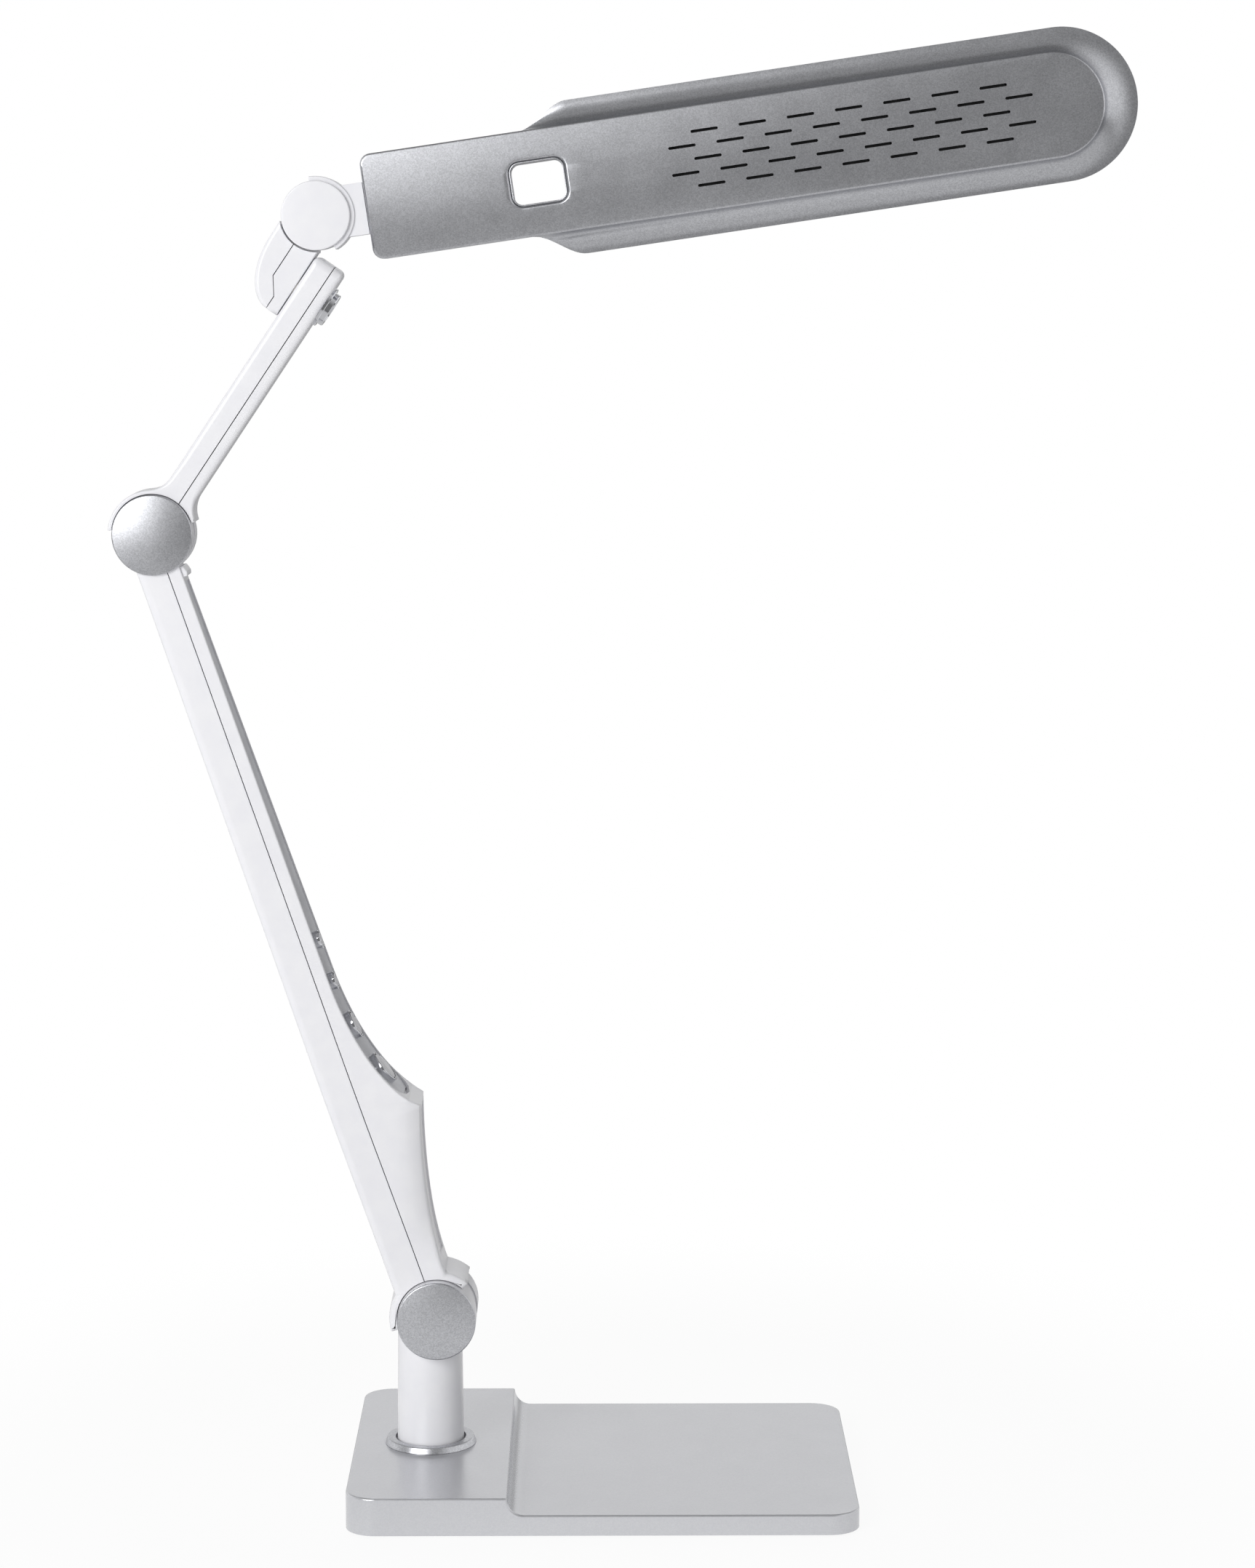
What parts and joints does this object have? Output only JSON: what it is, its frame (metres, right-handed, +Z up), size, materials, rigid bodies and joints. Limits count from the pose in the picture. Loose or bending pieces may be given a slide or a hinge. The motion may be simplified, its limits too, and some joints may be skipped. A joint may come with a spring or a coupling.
{
  "type": "desk lamp",
  "caption": "Jointed desk lamp: a stepped weighted base, turning post, broad lower arm with push buttons, slim upper arm, swivel neck and a long slotted head that twists.",
  "frame": {"origin": "on the desk, on the axis of the post", "axes": "+Z up along the post, +X along the base towards the lit side, +Y away from the viewer"},
  "size_m": [0.4321, 0.16, 0.6253],
  "materials": {
    "white_abs": "glossy moulded ABS",
    "silver_paint": "metallic silver paint on moulded ABS",
    "grey_panel": "satin moulded",
    "chrome_trim": "polished plating",
    "steel_hardware": "zinc plated",
    "iron_weight": "as cast",
    "foam_pad": "matt foam rubber",
    "bearing_polymer": "natural acetal",
    "black_plastic": "satin moulded",
    "circuit_board": "solder mask",
    "led_package": "phosphor resin",
    "opal_diffuser": "satin opal acrylic"
  },
  "bodies": {
    "base": {"desk_pad": "foam_pad", "base_plate": "steel_hardware", "base_weight": "iron_weight", "base_cover": "silver_paint", "base_screws": "steel_hardware", "swivel_collar": "silver_paint", "swivel_bush": "bearing_polymer", "dc_inlet": "black_plastic"},
    "post": {"post": "white_abs", "swivel_washer": "steel_hardware", "swivel_nut": "steel_hardware", "lower_cap_front": "silver_paint", "lower_cap_rear": "silver_paint", "lower_bolt": "steel_hardware", "lower_nut": "steel_hardware", "lower_washers": "bearing_polymer"},
    "lower_arm": {"lower_arm_outer": "white_abs", "lower_arm_inner": "white_abs", "control_panel": "grey_panel", "button_bezels": "chrome_trim", "control_board": "circuit_board", "button_switches": "black_plastic", "lower_arm_screws": "steel_hardware", "elbow_cap_front": "silver_paint", "elbow_cap_rear": "silver_paint", "elbow_bolt": "steel_hardware", "elbow_nut": "steel_hardware", "elbow_washers": "bearing_polymer"},
    "button_power": {"button_power": "white_abs"},
    "button_tone": {"button_tone": "white_abs"},
    "button_brighter": {"button_brighter": "white_abs"},
    "button_dimmer": {"button_dimmer": "white_abs"},
    "upper_arm": {"upper_arm_outer": "white_abs", "upper_arm_inner": "white_abs", "upper_arm_screws": "steel_hardware", "neck_bolt": "steel_hardware", "neck_nut": "steel_hardware", "neck_washers": "bearing_polymer", "neck_swivel_cap": "chrome_trim"},
    "neck": {"neck_body": "white_abs", "neck_cover": "white_abs", "neck_screws": "steel_hardware"},
    "head_yoke": {"head_yoke": "white_abs", "head_cap_front": "white_abs", "head_cap_rear": "white_abs", "head_bolt": "steel_hardware", "head_nut": "steel_hardware", "head_washers": "bearing_polymer", "twist_clip": "steel_hardware"},
    "head": {"head_shell": "silver_paint", "head_frame": "white_abs", "window_liner": "silver_paint", "twist_bush": "bearing_polymer", "led_board": "circuit_board", "leds": "led_package", "diffuser": "opal_diffuser", "head_screws": "steel_hardware"}
  },
  "joints": [
    {"name": "base_swivel", "type": "hinge", "parent": "base", "child": "post", "pos_m": [0, 0, 0.017], "axis": [0, 0, 1], "range_deg": [-90, 90]},
    {"name": "lower_arm_tilt", "type": "hinge", "parent": "post", "child": "lower_arm", "pos_m": [0.0035, 0, 0.076], "axis": [0, 1, 0], "range_deg": [-10, 75]},
    {"name": "elbow_tilt", "type": "hinge", "parent": "lower_arm", "child": "upper_arm", "pos_m": [-0.11423, 0, 0.41409], "axis": [0, 1, 0], "range_deg": [-60, 55]},
    {"name": "neck_swivel", "type": "hinge", "parent": "upper_arm", "child": "neck", "pos_m": [-0.04713, 0, 0.51357], "axis": [-0.829, 0, 0.5592], "range_deg": [-90, 90]},
    {"name": "head_tilt", "type": "hinge", "parent": "neck", "child": "head_yoke", "pos_m": [-0.04412, 0, 0.54736], "axis": [0, 1, 0], "range_deg": [-85, 18]},
    {"name": "head_twist", "type": "hinge", "parent": "head_yoke", "child": "head", "pos_m": [-0.04412, 0, 0.54736], "axis": [0.9893, 0, 0.1461], "range_deg": [-180, 0]},
    {"name": "button_power_press", "type": "slide", "parent": "lower_arm", "child": "button_power", "axis": [-0.7636, 0, -0.6457], "range_m": [0, 0.0006], "stiffness_N_per_m": 900},
    {"name": "button_tone_press", "type": "slide", "parent": "lower_arm", "child": "button_tone", "axis": [-0.8815, 0, -0.4722], "range_m": [0, 0.0006], "stiffness_N_per_m": 900},
    {"name": "button_brighter_press", "type": "slide", "parent": "lower_arm", "child": "button_brighter", "axis": [-0.9381, 0, -0.3463], "range_m": [0, 0.0006], "stiffness_N_per_m": 900},
    {"name": "button_dimmer_press", "type": "slide", "parent": "lower_arm", "child": "button_dimmer", "axis": [-0.9444, 0, -0.3289], "range_m": [0, 0.0006], "stiffness_N_per_m": 900}
  ]
}
